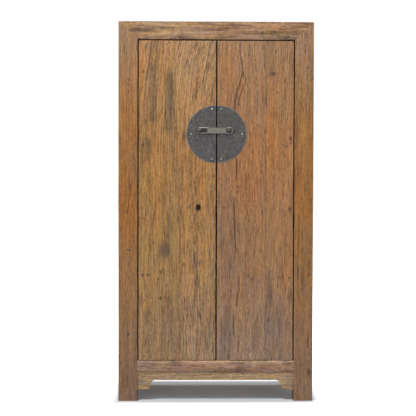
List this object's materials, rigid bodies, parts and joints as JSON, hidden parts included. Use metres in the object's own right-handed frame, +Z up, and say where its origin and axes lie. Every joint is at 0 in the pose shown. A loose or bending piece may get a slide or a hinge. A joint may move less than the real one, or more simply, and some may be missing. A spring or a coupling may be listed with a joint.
{
  "type": "square-corner cabinet",
  "caption": "Tall square-corner elm cabinet with flush plank doors on pivot pins, a round iron lock plate with a latch bar, and plain shelves inside.",
  "frame": {"origin": "on the floor, under the middle of the whole cabinet, latch staples included", "axes": "+X to the right seen from the front, +Y towards the back, +Z up"},
  "size_m": [0.95, 0.5018, 1.85],
  "materials": {
    "elm_frame": "weathered elm, dull waxed",
    "elm_left_door": "weathered tan elm, dull waxed",
    "elm_right_door": "weathered red-brown elm, dull waxed",
    "elm_panels": "weathered elm, dull",
    "elm_inside": "sawn elm, unwaxed",
    "iron_plate": "hammered grey iron, satin",
    "iron_dark": "forged iron, dark",
    "iron_latch": "forged iron, rubbed bright on its edges",
    "iron_nails": "forged iron nails, rubbed bright"
  },
  "bodies": {
    "carcass": {"post_front_left": "elm_frame", "post_front_right": "elm_frame", "post_back_left": "elm_frame", "post_back_right": "elm_frame", "top_rail_front": "elm_frame", "top_rail_back": "elm_frame", "top_rail_left": "elm_frame", "top_rail_right": "elm_frame", "top_board_front": "elm_panels", "top_board_back": "elm_panels", "top_batten": "elm_inside", "bottom_rail_front": "elm_frame", "bottom_rail_back": "elm_frame", "bottom_rail_left": "elm_frame", "bottom_rail_right": "elm_frame", "middle_rail_back": "elm_frame", "middle_rail_left": "elm_frame", "middle_rail_right": "elm_frame", "side_panel_upper_left": "elm_panels", "side_panel_upper_right": "elm_panels", "side_panel_lower_left": "elm_panels", "side_panel_lower_right": "elm_panels", "back_board_upper_left": "elm_panels", "back_board_upper_right": "elm_panels", "back_board_lower_left": "elm_panels", "back_board_lower_right": "elm_panels", "apron_front": "elm_frame", "apron_left": "elm_frame", "apron_right": "elm_frame", "bottom_board_front": "elm_inside", "bottom_board_back": "elm_inside", "door_stop_top": "elm_inside", "door_stop_bottom": "elm_inside", "shelf_lower": "elm_inside", "shelf_middle": "elm_inside", "shelf_upper": "elm_inside", "shelf_bearers_left": "elm_inside", "shelf_bearers_right": "elm_inside"},
    "door_left": {"door_left_outer_board": "elm_left_door", "door_left_inner_board": "elm_left_door", "door_left_batten_upper": "elm_inside", "door_left_batten_middle": "elm_inside", "door_left_batten_lower": "elm_inside", "door_left_pivot_pins": "iron_dark", "lock_plate_left": "iron_plate", "lock_nails_left": "iron_nails", "staple_left": "iron_dark"},
    "door_right": {"door_right_outer_board": "elm_right_door", "door_right_inner_board": "elm_right_door", "door_right_batten_upper": "elm_inside", "door_right_batten_middle": "elm_inside", "door_right_batten_lower": "elm_inside", "door_right_pivot_pins": "iron_dark", "lock_plate_right": "iron_plate", "lock_nails_right": "iron_nails", "staple_right": "iron_dark"},
    "latch": {"latch_bar": "iron_latch"}
  },
  "joints": [
    {"name": "door_left_hinge", "type": "hinge", "parent": "carcass", "child": "door_left", "pos_m": [-0.361, -0.2181, 0.9805], "axis": [0, 0, -1], "range_deg": [0, 110]},
    {"name": "door_right_hinge", "type": "hinge", "parent": "carcass", "child": "door_right", "pos_m": [0.361, -0.2181, 0.9805], "axis": [0, 0, 1], "range_deg": [0, 110]},
    {"name": "latch_swing", "type": "hinge", "parent": "door_left", "child": "latch", "pos_m": [-0.086, -0.2354, 1.321], "axis": [0, 0, -1], "range_deg": [0, 150]}
  ]
}
